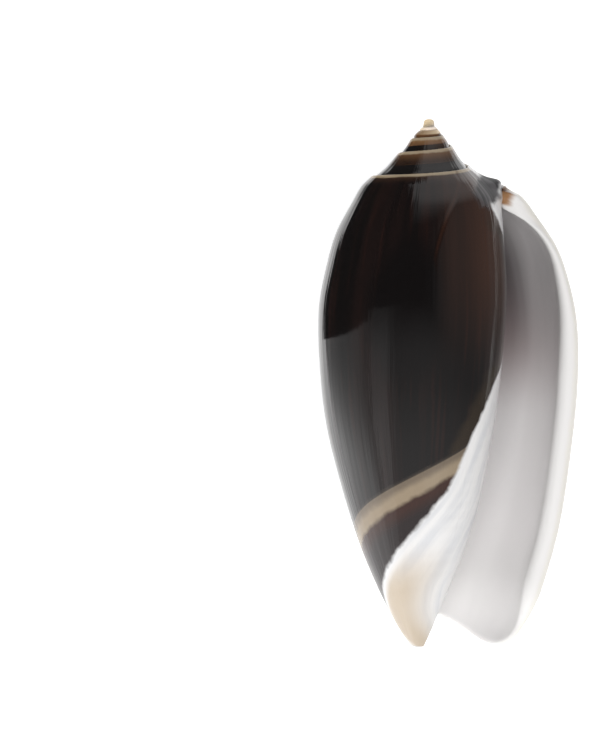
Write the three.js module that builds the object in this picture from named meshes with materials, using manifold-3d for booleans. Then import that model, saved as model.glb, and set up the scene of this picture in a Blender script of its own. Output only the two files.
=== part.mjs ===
// A dark olive shell (a gibbous olive), lying on its back with the aperture up.
// Millimetres, +Z up. The apex points to +Y, the outer lip is on the +X side.
//
// The shell is one wound wall. A place on it is given by two numbers: "turn", how many
// turns of the coil lie between it and the outer lip (0 at the lip, growing towards the
// apex), and "fall", how far down it is from the rim of its whorl (0) to the base (1).

import * as THREE from "three";
import { mergeVertices } from "three/addons/utils/BufferGeometryUtils.js";
import Module from "manifold-3d";

// Driving dimensions
const SHELL_LENGTH = 52.9; // apex to the tip of the columella, along the coiling axis
const WHORL_GROWTH = 2; // how much wider the coil gets in one turn
const RIM_RADIUS = 7.8; // radius of the whorl's rim where the outer lip starts
const NUCLEUS_RADIUS = 0.44; // what the rims wind down to at the apex
const COILED_TURNS = 5.25; // whorls that are modelled, the rest is the nucleus
const HOLLOW_TURNS = 1.15; // how far the hollow goes in behind the lip
const SIPHON_TURNS = 0.45; // how far the notch at the base goes round from the lip

// The spire: depth of a rim below the apex rises with its radius, then levels off
const SPIRE_SLOPE = 1.15;
const SPIRE_SHOULDER = 5.95;
const SPIRE_POWER = 5;

// Outlines of the body whorl as [depth below the apex, radius], half a turn apart
const LIP_OUTLINE = [
  [6.4, 7.8], [7.4, 9.4], [9.4, 11.0], [12.3, 13.0], [15.3, 14.2], [19.8, 15.25], [25.8, 15.5],
  [33.3, 14.95], [40.8, 13.95], [46.9, 12.4], [49.9, 11.35], [51.6, 10.6], [52.9, 9.9],
];
const FAR_OUTLINE = [
  [5.7, 5.64], [6.7, 6.6], [8.3, 7.5], [11.3, 9.0], [14.3, 9.83], [19.0, 10.6], [24.8, 10.4],
  [30.8, 9.6], [36.8, 8.0], [42.8, 5.95], [47.2, 4.0], [50.2, 2.4], [51.8, 1.4], [52.9, 0.6],
];
const INNER_OUTLINE = [
  [4.5, 4.1], [5.4, 5.1], [7.5, 7.0], [12.0, 7.7], [18.0, 8.1], [26.0, 7.6], [32.0, 6.85],
  [37.5, 5.95], [42.3, 4.7], [47.0, 2.95], [49.6, 1.94], [51.4, 1.25], [52.9, 0.6],
];

// Rims, grooves and ledges of the spire
const RIM_WIDTH = 0.5; // of the rim at the lip, and less towards the apex
const RIM_NARROWING = 0.6;
const SHOULDER_FALL = 0.043; // fall at which the next whorl's rim covers a whorl
const LEDGE_START = 0.42; // share of the step to the next rim where the ledge starts, outwards
const LEDGE_DROP = 0.58; // the same, downwards
const EVEN_TURN = 2.5; // turn from which the spire's ledges start to even out into a plain cone
const CALLUS_START = 0.93; // turn at which the enamel ledge begins, in the aperture's corner
const KNOT_HEIGHT = 0.5; // the ledge's first stretch is swollen by this much
const KNOT_TURN = 0.99;
const KNOT_SPREAD = 0.03;

// The wall and the hollow
const WALL = 1.05;
const LIP_THIN = 0.9; // thickness of the lip's edge at its upper end
const LIP_THICK = 2.1; // and in its middle
const LIP_TOP = 8; // depths between which it gets thicker
const LIP_MIDDLE = 26;
const LIP_FADE = 0.04; // turns over which the edge's thickness goes over into the wall's
const LIP_BULGE = 0.5; // roundness of the lip's edge, as a share of its thickness
const BASE_TOP = 46; // depths between which the wall thins towards the notch
const BASE_END = 52;
const BASE_SHARE = 0.35; // of the thickness, left at the notch
const FILL = 2.6; // more thickness where enamel fills the aperture's upper corner
const FILL_DEPTH = 8.6;
const FILL_FADE = 1.1;
const FILL_TURNS = 0.06;
const HOLLOW_TOP = 1.3; // depth of the hollow's top below the shoulder that it starts from
const TOP_ROUNDING = 3;
const BASE_ROUNDING = 5;
const HOLLOW_SHORTENING = 0.8; // fall that the hollow loses at its base in each turn
const LEAST_GAP = 0.3;
const NOTCH_FALL = 0.07; // depth of the siphonal notch
const CORNER_FALL = 0.03; // how far the lip's lower corner is rounded off
const CORNER_FADE = 0.012;
const CORNER_TURN = 0.02; // and bent back
const CORNER_DEPTH = 47;
const TIP_ROUNDING = 0.2; // the columella's tip stands this far past its last ring
const PAD_HEIGHT = 1.1; // of the enamel pad in the aperture's upper corner

// How it lies
const REST_ROLL = -30; // degrees about the long axis, onto its back and far side
const REST_PITCH = 4; // degrees, so that the narrow base comes down
const REST_CUT = 0.08; // depth of the small worn flat that it rests on

// Mesh
const STEPS = 40; // per turn
const SHOULDER_POINTS = 7;
const FACE_STEPS = 20; // down the body whorl
const EDGE_STEPS = 3; // across the lip's edge

const SHELL_COLOUR = 0x2a1a15;

const clamp01 = (x) => Math.min(Math.max(x, 0), 1);
const smooth = (from, to, x) => {
  const s = clamp01((x - from) / (to - from));
  return s * s * (3 - 2 * s);
};
const rounded = (x) => Math.sqrt(1 - (1 - clamp01(x)) ** 2);
const mix = (a, b, share) => a + (b - a) * share;

// Cubic between b and c, with slopes taken from their neighbours a and d
function cubic(a, b, c, d, share) {
  const slopeB = (c - a) / 2;
  const slopeC = (d - b) / 2;
  const s = share;
  return (
    b * (1 + 2 * s) * (1 - s) ** 2 + slopeB * s * (1 - s) ** 2 +
    c * (3 - 2 * s) * s ** 2 - slopeC * (1 - s) * s ** 2
  );
}

// Radius at a depth, on a smooth curve through an outline's points
function radiusOn(outline, depth) {
  let i = 1;
  while (i < outline.length - 1 && outline[i][0] < depth) i += 1;
  const slope = (k) => {
    const [before, after] = [outline[Math.max(k - 1, 0)], outline[Math.min(k + 1, outline.length - 1)]];
    return (after[1] - before[1]) / (after[0] - before[0]);
  };
  const [x0, y0] = outline[i - 1];
  const [x1, y1] = outline[i];
  const width = x1 - x0;
  const s = (depth - x0) / width;
  return (
    y0 * (1 + 2 * s) * (1 - s) ** 2 + slope(i - 1) * width * s * (1 - s) ** 2 +
    y1 * (3 - 2 * s) * s ** 2 - slope(i) * width * (1 - s) * s ** 2
  );
}

const rimRadius = (turn) => NUCLEUS_RADIUS + (RIM_RADIUS - NUCLEUS_RADIUS) * WHORL_GROWTH ** -turn;

function rimDepth(turn) {
  const radius = rimRadius(turn);
  return (SPIRE_SLOPE * radius) / (1 + (radius / SPIRE_SHOULDER) ** SPIRE_POWER) ** (1 / SPIRE_POWER);
}

const depthAt = (turn, fall) => mix(rimDepth(turn), SHELL_LENGTH, fall);

// Logarithm of the radius at a whole number of half turns from the lip
function stationLog(half, fall) {
  if (half < 0) return stationLog(0, fall) - (half / 2) * Math.log(WHORL_GROWTH);
  if (half > 2) return stationLog(2, fall) - ((half - 2) / 2) * Math.log(WHORL_GROWTH);
  const outline = [LIP_OUTLINE, FAR_OUTLINE, INNER_OUTLINE][half];
  const depth = mix(outline[0][0], SHELL_LENGTH, fall);
  return Math.log(radiusOn(outline, depth));
}

function radiusAt(turn, fall) {
  const half = Math.floor(turn * 2);
  const [a, b, c, d] = [-1, 0, 1, 2].map((k) => stationLog(half + k, fall));
  return Math.exp(cubic(a, b, c, d, turn * 2 - half));
}

const fallAt = (turn, depth) => (depth - rimDepth(turn)) / (SHELL_LENGTH - rimDepth(turn));
const radiusAtDepth = (turn, depth) => radiusAt(turn, clamp01(fallAt(turn, depth)));

// Point of the shell's own frame: coiling axis along Y, apex at the origin
function place(turn, radius, depth) {
  const angle = -2 * Math.PI * turn;
  return new THREE.Vector3(radius * Math.cos(angle), -depth, radius * Math.sin(angle));
}

// The lip's edge bends back at its lower corner, and the turns behind it follow
const bentTurn = (turn, depth) => {
  const bend = CORNER_TURN * smooth(CORNER_DEPTH, SHELL_LENGTH, depth);
  return turn + bend * Math.max(1 - 2 * turn, 0) ** 2;
};

const notchFall = (turn) => {
  if (turn >= 0.5) return 1;
  const notch = NOTCH_FALL * Math.sin(2 * Math.PI * turn) ** 2;
  return 1 - notch - CORNER_FALL * Math.exp(-turn / CORNER_FADE);
};

// Depths at which the hollow starts and ends at a turn. It gets shorter inwards, as the
// shell itself was when that part grew.
const hollowTop = (turn) => depthAt(turn + 1, SHOULDER_FALL) + HOLLOW_TOP * smooth(0, 0.06, turn);
const hollowBase = (turn) => {
  const fall = notchFall(SIPHON_TURNS) + (SIPHON_TURNS - turn) * HOLLOW_SHORTENING;
  return depthAt(turn, fall);
};

// The rim at a turn, from the bottom of its groove to its outer side: [radius, depth]
function rimPoints(turn) {
  const radius = rimRadius(turn);
  const depth = rimDepth(turn);
  const width = RIM_WIDTH * (radius / RIM_RADIUS) ** RIM_NARROWING;
  return [
    [radius - 0.8 * width, depth + 0.9 * width],
    [radius - 0.5 * width, depth + 0.1 * width],
    [radius - 0.05 * width, depth],
    [radius + 0.45 * width, depth + 0.5 * width],
  ];
}

// The shoulder of a whorl, from its groove to where the next whorl covers it, as points
// [radius, depth]. On the spire it ends in the dark enamel ledge and the next groove.
function shoulder(turn) {
  const rim = rimPoints(turn);
  const open = [0.45, 0.75, 1].map((share) => {
    const fall = SHOULDER_FALL * share;
    return [radiusAt(turn, fall), depthAt(turn, fall)];
  });
  const [radius, depth] = [rimRadius(turn), rimDepth(turn)];
  const [nextRadius, nextDepth] = [rimRadius(turn - 1), rimDepth(turn - 1)];
  const groove = rimPoints(turn - 1)[0];
  const nextWidth = (nextRadius - groove[0]) / 0.8;
  const knot = KNOT_HEIGHT * Math.exp(-(((turn - KNOT_TURN) / KNOT_SPREAD) ** 2));
  const start = mix(LEDGE_START, LEDGE_DROP, smooth(EVEN_TURN, EVEN_TURN + 1, turn));
  const ledge = [
    [mix(radius, nextRadius, start), mix(depth, nextDepth, LEDGE_DROP) - 0.3 * knot],
    [nextRadius - 1.2 * nextWidth, nextDepth - 0.1 * nextWidth - knot],
    groove,
  ];
  const covered = smooth(CALLUS_START, 1, turn);
  const rest = open.map((point, k) => [
    mix(point[0], ledge[k][0], covered),
    mix(point[1], ledge[k][1], covered),
  ]);
  return rim.concat(rest);
}

// The enamel pad that fills the aperture's upper corner
function cornerPad(turn, depth) {
  const [radius, top] = rimPoints(0)[0];
  const gap = radius - radiusAtDepth(1, top);
  return gap * smooth(CALLUS_START, 1, turn) * Math.exp(-(((depth - top) / PAD_HEIGHT) ** 2));
}

// One column of the outside, from its groove to the base
function outsideColumn(turn) {
  const column = shoulder(turn);
  if (turn <= 1) {
    const covered = column[column.length - 1];
    for (let j = 1; j <= FACE_STEPS; j += 1) {
      const depth = mix(covered[1], depthAt(turn, notchFall(turn)), j / FACE_STEPS);
      column.push([radiusAtDepth(bentTurn(turn, depth), depth) + cornerPad(turn, depth), depth]);
    }
  }
  return column.map(([radius, depth]) => place(bentTurn(turn, depth), radius, depth));
}

// Thickness of the wall at a turn behind the lip
function wallAt(turn, depth) {
  const edge = mix(LIP_THIN, LIP_THICK, smooth(LIP_TOP, LIP_MIDDLE, depth));
  const thick = mix(WALL, edge, Math.exp(-turn / LIP_FADE));
  const fill = FILL * Math.exp(-Math.max(depth - FILL_DEPTH, 0) / FILL_FADE - turn / FILL_TURNS);
  return thick * mix(1, BASE_SHARE, smooth(BASE_TOP, BASE_END, depth)) + fill;
}

// Both sides of the hollow at a turn, from its top to its base. The inner side is the
// outside of the whorl before it, and the columella.
function hollowColumn(turn) {
  const outer = [];
  const inner = [];
  const top = hollowTop(turn);
  const base = hollowBase(turn);
  for (let j = 0; j <= FACE_STEPS; j += 1) {
    const share = j / FACE_STEPS;
    const innerDepth = mix(top, Math.min(SHELL_LENGTH, base), share);
    inner.push(place(turn + 1, radiusAtDepth(turn + 1, innerDepth), innerDepth));
    const depth = mix(top, Math.min(depthAt(turn, notchFall(turn)), base), share);
    const bent = bentTurn(turn, depth);
    const floor = radiusAtDepth(turn + 1, depth);
    const room = radiusAtDepth(bent, depth) - wallAt(turn, depth) - floor;
    const gap = (room + Math.hypot(room, LEAST_GAP)) / 2;
    const ends = rounded((depth - top) / TOP_ROUNDING) * rounded((base - depth) / BASE_ROUNDING);
    outer.push(place(bent, floor + gap * ends, depth));
  }
  return { outer, inner };
}

// Collects points and faces. A face with a repeated point has no area and is left out.
const points = [];
const faces = [];
const addPoint = (point) => points.push(point) - 1;
function addQuad(a, b, c, d) {
  for (const face of [[a, b, c], [a, c, d]]) {
    if (new Set(face).size === 3) faces.push(face);
  }
}

function addOutside() {
  const columns = [];
  for (let i = 0; i <= COILED_TURNS * STEPS; i += 1) {
    const ids = outsideColumn(i / STEPS).map(addPoint);
    if (i >= STEPS) ids[SHOULDER_POINTS - 1] = columns[i - STEPS][0];
    columns.push(ids);
  }
  for (let i = 0; i + 1 < columns.length; i += 1) {
    const [here, next] = [columns[i], columns[i + 1]];
    const count = i < STEPS ? here.length : SHOULDER_POINTS;
    for (let j = 0; j + 1 < count; j += 1) addQuad(here[j], here[j + 1], next[j + 1], next[j]);
  }
  return columns;
}

// The columns of the hollow start on the body whorl's inner side, at the lip
function addHollow(outside) {
  const columns = [];
  for (let i = 0; i <= HOLLOW_TURNS * STEPS; i += 1) {
    const { outer, inner } = hollowColumn(i / STEPS);
    const innerIds = i === 0 ? outside[STEPS].slice(SHOULDER_POINTS - 1) : inner.map(addPoint);
    const outerIds = outer.map(addPoint);
    outerIds[0] = innerIds[0];
    if (i >= SIPHON_TURNS * STEPS) outerIds[FACE_STEPS] = innerIds[FACE_STEPS];
    columns.push({ outer: outerIds, inner: innerIds });
  }
  for (let i = 0; i + 1 < columns.length; i += 1) {
    const [here, next] = [columns[i], columns[i + 1]];
    for (let j = 0; j < FACE_STEPS; j += 1) {
      addQuad(here.inner[j], here.inner[j + 1], next.inner[j + 1], next.inner[j]);
      addQuad(here.outer[j], next.outer[j], next.outer[j + 1], here.outer[j + 1]);
    }
  }
  const { outer, inner } = columns[columns.length - 1];
  for (let j = 0; j < FACE_STEPS; j += 1) addQuad(inner[j], inner[j + 1], outer[j + 1], outer[j]);
  return columns;
}

// The rounded edge of the outer lip and of the notch, between outside and hollow. Gives
// back the points across its end, beside the columella's tip.
function addLip(outside, hollow) {
  const last = outside[0].length - 1;
  const pairs = outside[0].map((id, j) => [hollow[0].outer[Math.max(j - SHOULDER_POINTS + 1, 0)], id]);
  for (let i = 1; i <= SIPHON_TURNS * STEPS; i += 1) {
    pairs.push([hollow[i].outer[FACE_STEPS], outside[i][last]]);
  }
  const middles = pairs.map(([a, b]) => points[a].clone().lerp(points[b], 0.5));
  const rows = pairs.map(([inside, outsideId], k) => {
    const across = points[outsideId].clone().sub(points[inside]);
    const along = middles[Math.min(k + 1, middles.length - 1)].clone().sub(middles[Math.max(k - 1, 0)]);
    const thickness = Math.min(across.length(), LIP_THICK);
    const bulge = along.cross(across).normalize().multiplyScalar(LIP_BULGE * thickness);
    const row = [inside];
    for (let m = 1; m < EDGE_STEPS; m += 1) {
      const angle = (Math.PI * m) / EDGE_STEPS;
      const point = points[inside].clone().addScaledVector(across, (1 - Math.cos(angle)) / 2);
      row.push(inside === outsideId ? inside : addPoint(point.addScaledVector(bulge, Math.sin(angle))));
    }
    row.push(outsideId);
    return row;
  });
  for (let k = 0; k + 1 < rows.length; k += 1) {
    for (let m = 0; m < EDGE_STEPS; m += 1) {
      addQuad(rows[k][m], rows[k + 1][m], rows[k + 1][m + 1], rows[k][m + 1]);
    }
  }
  return rows[rows.length - 1].slice(1, -1);
}

// Closes a loop of points with triangles to one point
function addFan(loop, centre, facingUp) {
  const middle = addPoint(centre);
  loop.forEach((id, k) => {
    const next = loop[(k + 1) % loop.length];
    faces.push(facingUp ? [middle, id, next] : [middle, next, id]);
  });
}

function addApex(outside) {
  const first = outside.length - 1 - STEPS;
  const around = outside.slice(first).map((column) => column[0]);
  const step = outside[outside.length - 1].slice(1, SHOULDER_POINTS - 1);
  addFan([...around, ...step], new THREE.Vector3(0, 0, 0), true);
}

function addColumellaTip(outside, hollow, lipEnd) {
  const siphon = SIPHON_TURNS * STEPS;
  const last = outside[0].length - 1;
  const front = outside.slice(siphon, STEPS + 1).map((column) => column[last]);
  const back = hollow.slice(1, siphon + 1).map((column) => column.inner[FACE_STEPS]);
  addFan([...front, ...back, ...lipEnd], new THREE.Vector3(0, -SHELL_LENGTH - TIP_ROUNDING, 0), false);
}

function shellGeometry() {
  const outside = addOutside();
  const hollow = addHollow(outside);
  const lipEnd = addLip(outside, hollow);
  addApex(outside);
  addColumellaTip(outside, hollow, lipEnd);
  const geometry = new THREE.BufferGeometry();
  geometry.setAttribute("position", new THREE.Float32BufferAttribute(points.flatMap((p) => p.toArray()), 3));
  geometry.setIndex(faces.flat());
  return geometry;
}

const wasm = await Module();
wasm.setup();

function solidOf(geometry) {
  const bare = geometry.clone();
  bare.deleteAttribute("normal");
  bare.deleteAttribute("uv");
  const merged = mergeVertices(bare);
  return new wasm.Manifold(
    new wasm.Mesh({
      numProp: 3,
      vertProperties: merged.attributes.position.array,
      triVerts: new Uint32Array(merged.index.array),
    }),
  );
}

function geometryOf(solid) {
  const { vertProperties, triVerts } = solid.getMesh();
  const geometry = new THREE.BufferGeometry();
  geometry.setAttribute("position", new THREE.BufferAttribute(vertProperties, 3));
  geometry.setIndex(new THREE.BufferAttribute(triVerts, 1));
  geometry.computeVertexNormals();
  return geometry;
}

// Turns the shell to how it lies, and stands the origin under the middle of it
function layDown(geometry) {
  geometry.rotateY(THREE.MathUtils.degToRad(REST_ROLL));
  geometry.rotateX(THREE.MathUtils.degToRad(REST_PITCH));
  geometry.computeBoundingBox();
  const { min, max } = geometry.boundingBox;
  geometry.translate(-(min.x + max.x) / 2, -(min.y + max.y) / 2, -min.z - REST_CUT);
  return geometry;
}

// Everything below the surface that the shell lies on
function belowGround() {
  const size = 2 * SHELL_LENGTH;
  return new THREE.BoxGeometry(size, size, size).translate(0, 0, -size / 2);
}

const lying = solidOf(layDown(shellGeometry())).subtract(solidOf(belowGround()));

const shell = new THREE.Mesh(
  geometryOf(lying),
  new THREE.MeshStandardMaterial({ color: SHELL_COLOUR, roughness: 0.15, metalness: 0 }),
);
shell.name = "shell";

const group = new THREE.Group();
group.add(shell);

export default group;
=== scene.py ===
# %% [markdown]
# An olive shell is one wall of enamel that the animal wound round an axis while it grew.
# We don't sculpt it. We write down the coil, as a maker of curves would, and let the
# formula lay down a fine skin over the plain solid that the frame gives us.

# %% Load the frame
import math

import bpy
import numpy as np
from mathutils import Matrix, Vector


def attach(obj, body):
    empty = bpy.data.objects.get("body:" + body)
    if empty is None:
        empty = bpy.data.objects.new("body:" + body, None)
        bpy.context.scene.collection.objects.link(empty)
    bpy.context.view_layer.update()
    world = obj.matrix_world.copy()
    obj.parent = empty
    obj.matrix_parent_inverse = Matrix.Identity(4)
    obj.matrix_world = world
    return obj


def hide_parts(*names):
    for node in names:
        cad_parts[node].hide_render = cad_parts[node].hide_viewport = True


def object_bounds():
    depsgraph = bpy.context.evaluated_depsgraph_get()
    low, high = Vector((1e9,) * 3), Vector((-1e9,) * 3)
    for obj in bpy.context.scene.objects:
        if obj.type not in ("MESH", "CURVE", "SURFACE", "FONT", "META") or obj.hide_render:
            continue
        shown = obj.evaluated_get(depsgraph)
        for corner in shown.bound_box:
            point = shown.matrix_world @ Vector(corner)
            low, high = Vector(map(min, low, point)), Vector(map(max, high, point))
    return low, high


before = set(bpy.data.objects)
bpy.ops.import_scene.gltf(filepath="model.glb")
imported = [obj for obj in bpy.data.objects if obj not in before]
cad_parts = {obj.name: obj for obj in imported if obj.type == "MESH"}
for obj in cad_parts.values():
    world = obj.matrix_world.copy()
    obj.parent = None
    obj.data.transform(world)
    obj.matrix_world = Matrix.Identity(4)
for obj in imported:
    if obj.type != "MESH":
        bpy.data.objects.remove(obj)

cad_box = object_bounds()
print("frame box", [[round(v, 5) for v in corner] for corner in cad_box])

MM = 0.001  # the formulas below are in millimetres

# %% [markdown]
# The shell lies on its back, turned a little to its far side, as a real one comes to
# rest. All its shapes are easier to say in its own frame, with the coiling axis along Y
# and the apex at the origin. One matrix takes that frame to the world. The camera is set
# in the shell's frame too, so that it sees the aperture as the picture does.

# %% The shell's own frame
REST_ROLL = math.radians(-30)
REST_PITCH = math.radians(4)
SHELL_LENGTH = 52.9
REST_CUT = 0.08

turn_to_world = Matrix.Rotation(REST_PITCH, 4, "X") @ Matrix.Rotation(REST_ROLL, 4, "Y")


def smooth(start, end, x):
    s = np.clip((x - start) / (end - start), 0.0, 1.0)
    return s * s * (3.0 - 2.0 * s)


def rounded(x):
    return np.sqrt(1.0 - (1.0 - np.clip(x, 0.0, 1.0)) ** 2)


def mix(a, b, share):
    return a + (b - a) * share


# %% [markdown]
# The rims of the whorls lie on a spiral that grows by nearly the same factor each turn.
# The body whorl isn't a plain cone, so its outline is read at three places half a turn
# apart, at the lip, on the far side and on the inner side, and the radius in between is
# a smooth curve through their logarithms. A table of points for the whole surface would
# also do, but nobody could read or change it.

# %% The coil
WHORL_GROWTH = 2.0
RIM_RADIUS, NUCLEUS_RADIUS = 7.8, 0.44
COILED_TURNS = 5.25
SPIRE_SLOPE, SPIRE_SHOULDER, SPIRE_POWER = 1.15, 5.95, 5

LIP_OUTLINE = [  # depth, radius
    (6.4, 7.8), (7.4, 9.4), (9.4, 11.0), (12.3, 13.0), (15.3, 14.2), (19.8, 15.25), (25.8, 15.5),
    (33.3, 14.95), (40.8, 13.95), (46.9, 12.4), (49.9, 11.35), (51.6, 10.6), (52.9, 9.9),
]
FAR_OUTLINE = [
    (5.7, 5.64), (6.7, 6.6), (8.3, 7.5), (11.3, 9.0), (14.3, 9.83), (19.0, 10.6), (24.8, 10.4),
    (30.8, 9.6), (36.8, 8.0), (42.8, 5.95), (47.2, 4.0), (50.2, 2.4), (51.8, 1.4), (52.9, 0.6),
]
INNER_OUTLINE = [
    (4.5, 4.1), (5.4, 5.1), (7.5, 7.0), (12.0, 7.7), (18.0, 8.1), (26.0, 7.6), (32.0, 6.85),
    (37.5, 5.95), (42.3, 4.7), (47.0, 2.95), (49.6, 1.94), (51.4, 1.25), (52.9, 0.6),
]


def between(start, end, start_slope, end_slope, s):
    """A smooth curve from start to end that leaves and arrives with these slopes."""
    leaving = start * (1 + 2 * s) + start_slope * s
    arriving = end * (3 - 2 * s) - end_slope * (1 - s)
    return leaving * (1 - s) ** 2 + arriving * s**2


def curve_through(outline, x):
    """The second value of an outline's points, at x in the first."""
    xs, ys = np.array(outline).T
    slopes = np.gradient(ys)
    slopes[1:-1] = (ys[2:] - ys[:-2]) / (xs[2:] - xs[:-2])
    slopes[0] = (ys[1] - ys[0]) / (xs[1] - xs[0])
    slopes[-1] = (ys[-1] - ys[-2]) / (xs[-1] - xs[-2])
    x = np.clip(x, xs[0], xs[-1])
    i = np.clip(np.searchsorted(xs, x), 1, len(xs) - 1)
    width = xs[i] - xs[i - 1]
    s = (x - xs[i - 1]) / width
    return between(ys[i - 1], ys[i], slopes[i - 1] * width, slopes[i] * width, s)


def rim_radius(turn):
    return NUCLEUS_RADIUS + (RIM_RADIUS - NUCLEUS_RADIUS) * WHORL_GROWTH ** -turn


def rim_depth(turn):
    radius = rim_radius(turn)
    return SPIRE_SLOPE * radius / (1 + (radius / SPIRE_SHOULDER) ** SPIRE_POWER) ** (1 / SPIRE_POWER)


def station_log(half, fall):
    """Logarithm of the radius at a whole number of half turns, at this share of the fall."""
    logs = []
    for outline in (LIP_OUTLINE, FAR_OUTLINE, INNER_OUTLINE):
        top = outline[0][0]
        logs.append(np.log(curve_through(outline, mix(top, SHELL_LENGTH, fall))))
    known = np.clip(half, 0, len(logs) - 1)
    value = np.choose(known.astype(int), logs)
    return value - (half - known) / 2 * math.log(WHORL_GROWTH)


def radius_at(turn, depth):
    fall = np.clip((depth - rim_depth(turn)) / (SHELL_LENGTH - rim_depth(turn)), 0.0, 1.0)
    half = np.floor(turn * 2)
    s = turn * 2 - half
    before, here, ahead, beyond = (station_log(half + k, fall) for k in (-1, 0, 1, 2))
    return np.exp(between(here, ahead, (ahead - before) / 2, (beyond - here) / 2, s))


print("rim radii, lip to apex:", [round(float(rim_radius(t)), 2) for t in range(5)])

# %% [markdown]
# Each whorl of the spire has a small raised rim, a steep face, and then a glossy ledge
# of dark enamel that runs out to the groove beside the next rim. Seven points give that
# profile. On the body whorl, which nothing covers, the last three lie on its face.

# %% The shoulder of a whorl
RIM_WIDTH, RIM_NARROWING = 0.5, 0.6
RIM_SHAPE = ((-0.8, 0.9), (-0.5, 0.1), (-0.05, 0.0), (0.45, 0.5))  # out and down, in widths
SHOULDER_FALL = 0.043
LEDGE_START, LEDGE_DROP, EVEN_TURN = 0.42, 0.58, 2.5
OPEN_SHARES = (0.45, 0.75, 1.0)  # where the last three points lie on an uncovered whorl
CALLUS_START = 0.93
KNOT_HEIGHT, KNOT_TURN, KNOT_SPREAD = 0.5, 0.99, 0.03
PAD_HEIGHT = 1.1


def depth_at(turn, fall):
    return mix(rim_depth(turn), SHELL_LENGTH, fall)


def rim_points(turn):
    radius, depth = rim_radius(turn), rim_depth(turn)
    width = RIM_WIDTH * (radius / RIM_RADIUS) ** RIM_NARROWING
    return [(radius + out * width, depth + down * width) for out, down in RIM_SHAPE]


def shoulder_points(turn):
    points = rim_points(turn)
    radius, depth = rim_radius(turn), rim_depth(turn)
    next_radius, next_depth = rim_radius(turn - 1), rim_depth(turn - 1)
    groove = rim_points(turn - 1)[0]
    next_width = (next_radius - groove[0]) / -RIM_SHAPE[0][0]
    knot = KNOT_HEIGHT * np.exp(-(((turn - KNOT_TURN) / KNOT_SPREAD) ** 2))
    start = mix(LEDGE_START, LEDGE_DROP, smooth(EVEN_TURN, EVEN_TURN + 1, turn))
    ledge = [
        (mix(radius, next_radius, start), mix(depth, next_depth, LEDGE_DROP) - 0.3 * knot),
        (next_radius - 1.2 * next_width, next_depth - 0.1 * next_width - knot),
        groove,
    ]
    covered = smooth(CALLUS_START, 1.0, turn)
    for share, (ledge_radius, ledge_depth) in zip(OPEN_SHARES, ledge):
        open_depth = depth_at(turn, SHOULDER_FALL * share)
        open_radius = radius_at(turn, open_depth)
        points.append((mix(open_radius, ledge_radius, covered), mix(open_depth, ledge_depth, covered)))
    return np.array(points)


def fine_shoulder(turn, pieces):
    """The same profile as a smooth curve, with so many pieces between two points."""
    knots = shoulder_points(turn)
    ends = [knots[:1] * 2 - knots[1:2], knots, knots[-1:] * 2 - knots[-2:-1]]
    knots = np.concatenate(ends)
    rows = []
    for k in range(1, len(knots) - 2):
        for s in np.arange(pieces) / pieces:
            before, here, ahead, beyond = knots[k - 1 : k + 3]
            rows.append(between(here, ahead, (ahead - before) / 2, (beyond - here) / 2, s))
    rows.append(knots[-2])
    return np.array(rows)


def corner_pad(turn, depth):
    radius, top = rim_points(0)[0]
    gap = radius - radius_at(np.array(1.0), np.array(top))
    return gap * smooth(CALLUS_START, 1.0, turn) * np.exp(-(((depth - top) / PAD_HEIGHT) ** 2))


# %% [markdown]
# The markings follow the shell's growth, so their edges are lines in turn and depth.
# Each is kept as a field on the mesh: how many millimetres a point is past the line. A
# field like that is smooth, so the material can cut a clean edge from it, where a
# painted mask would show the mesh. The same fields raise the callus a little.

# %% Where the markings run
CALLUS_EDGE = [  # depth, turn
    (6.5, 0.95), (8.0, 0.91), (9.5, 0.925), (11.5, 0.965), (14.0, 0.985), (20.0, 0.99), (24.0, 0.965),
    (25.8, 0.925), (29.4, 0.88), (33.5, 0.841), (36.6, 0.812),
    (40.0, 0.748), (43.4, 0.666), (46.7, 0.565), (50.0, 0.47), (52.5, 0.42),
]
SCAR_LINE = [  # depth, turn
    (4.0, 0.875), (4.8, 0.859), (7.2, 0.817), (9.1, 0.791), (11.0, 0.776), (13.5, 0.764), (15.0, 0.768),
    (16.0, 0.772),
]
FASCIOLE_DEPTH, FASCIOLE_TURN, FASCIOLE_PITCH = 32.7, 0.83, 25.0
KNOT_PLACE, STAIN_PLACE = (6.0, -6.9), (7.5, -7.5)  # right and down from the apex, seen from the front
CALLUS_HEIGHT = 0.2
FOLD_HEIGHT, FOLD_SPACING, FOLD_SLANT = 0.03, 1.15, 5.0
SLOPE_STEP = 0.2  # mm of depth, to measure how a line slants


def line_distance(line, turn, depth, radius):
    """Millimetres past a line that is given as turns at depths, measured square to it."""
    edge = curve_through(line, depth)
    slope = (curve_through(line, depth + SLOPE_STEP) - edge) / SLOPE_STEP
    girth = 2 * math.pi * radius
    return (turn - edge) * girth / np.sqrt(1 + (slope * girth) ** 2)


def fasciole_distance(turn, depth):
    return depth - FASCIOLE_DEPTH - (FASCIOLE_TURN - turn) * FASCIOLE_PITCH


def callus_relief(turn, depth, radius):
    past = line_distance(CALLUS_EDGE, turn, depth, radius)
    thick = CALLUS_HEIGHT * smooth(-0.3, 1.2, past) * smooth(26.0, 31.0, depth)
    folds = np.sin(2 * math.pi * (depth + FOLD_SLANT * turn) / FOLD_SPACING)
    folded = smooth(0.5, 2.0, past) * smooth(26.0, 31.0, depth) * (1 - smooth(46.0, 51.0, depth))
    return thick + FOLD_HEIGHT * folds * folded


# %% [markdown]
# Behind the lip the wall is open. The hollow's outer side is the wall's inner face, and
# its inner side is the outside of the whorl before it, which goes over into the
# columella. At the base the wall is cut back to the notch of the siphon.

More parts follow.
